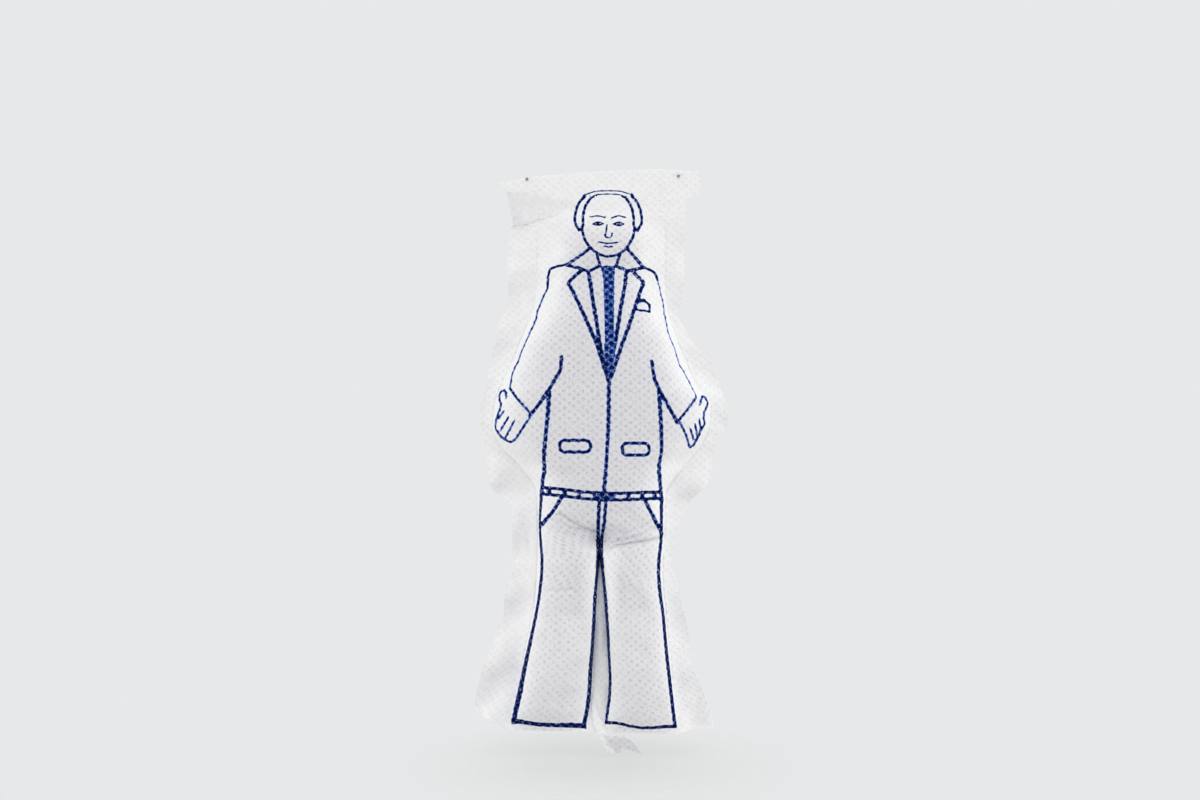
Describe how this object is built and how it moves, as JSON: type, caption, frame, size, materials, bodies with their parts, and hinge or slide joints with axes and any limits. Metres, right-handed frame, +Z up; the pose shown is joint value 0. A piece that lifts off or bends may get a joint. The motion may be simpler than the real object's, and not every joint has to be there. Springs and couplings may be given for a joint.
{
  "type": "cloth doll",
  "caption": "Flat-cut stuffed cloth doll with a printed suit, loose raw margin round the seam and a flat top hem to hang it by.",
  "frame": {"origin": "middle of the back face of the flat hem that the doll hangs by", "axes": "+Z up along the figure, -Y towards the printed front, +X towards the doll's own left"},
  "size_m": [0.0909, 0.0339, 0.2103],
  "materials": {
    "cloth": "white point-bonded nonwoven, matte, printed in blue on the front",
    "fibre": "loose white polyester fibre",
    "thread": "white polyester sewing thread",
    "pin": "dark steel pin with a small domed head"
  },
  "bodies": {
    "head": {"head_front_panel": "cloth", "head_back_panel": "cloth", "head_stuffing": "fibre", "head_seam_thread": "thread", "top_hem": "cloth", "hem_pin_right": "pin", "hem_pin_left": "pin"},
    "torso": {"torso_front_panel": "cloth", "torso_back_panel": "cloth", "torso_stuffing": "fibre", "right_shoulder_seam_thread": "thread", "left_shoulder_seam_thread": "thread", "right_hip_seam_thread": "thread", "left_hip_seam_thread": "thread"},
    "right_arm": {"right_arm_front_panel": "cloth", "right_arm_back_panel": "cloth", "right_arm_stuffing": "fibre", "right_arm_seam_thread": "thread"},
    "left_arm": {"left_arm_front_panel": "cloth", "left_arm_back_panel": "cloth", "left_arm_stuffing": "fibre", "left_arm_seam_thread": "thread"},
    "right_leg": {"right_leg_front_panel": "cloth", "right_leg_back_panel": "cloth", "right_leg_stuffing": "fibre", "right_leg_seam_thread": "thread"},
    "left_leg": {"left_leg_front_panel": "cloth", "left_leg_back_panel": "cloth", "left_leg_stuffing": "fibre", "left_leg_seam_thread": "thread"}
  },
  "joints": [
    {"name": "neck", "type": "hinge", "parent": "head", "child": "torso", "pos_m": [0, -0.00065, -0.0285], "axis": [-1, 0, 0], "range_deg": [-15, 30], "stiffness_Nm_per_rad": 0.001},
    {"name": "right_shoulder", "type": "hinge", "parent": "torso", "child": "right_arm", "pos_m": [-0.0213, -0.00065, -0.0746], "axis": [0, 0, 1], "range_deg": [-24, 24], "stiffness_Nm_per_rad": 0.0002},
    {"name": "left_shoulder", "type": "hinge", "parent": "torso", "child": "left_arm", "pos_m": [0.0213, -0.00065, -0.0746], "axis": [0, 0, -1], "range_deg": [-24, 24], "stiffness_Nm_per_rad": 0.0002},
    {"name": "right_hip", "type": "hinge", "parent": "torso", "child": "right_leg", "pos_m": [-0.0114, -0.00065, -0.1279], "axis": [-1, 0, 0], "range_deg": [-15, 60], "stiffness_Nm_per_rad": 0.0002},
    {"name": "left_hip", "type": "hinge", "parent": "torso", "child": "left_leg", "pos_m": [0.0114, -0.00065, -0.1279], "axis": [-1, 0, 0], "range_deg": [-15, 60], "stiffness_Nm_per_rad": 0.0002}
  ]
}
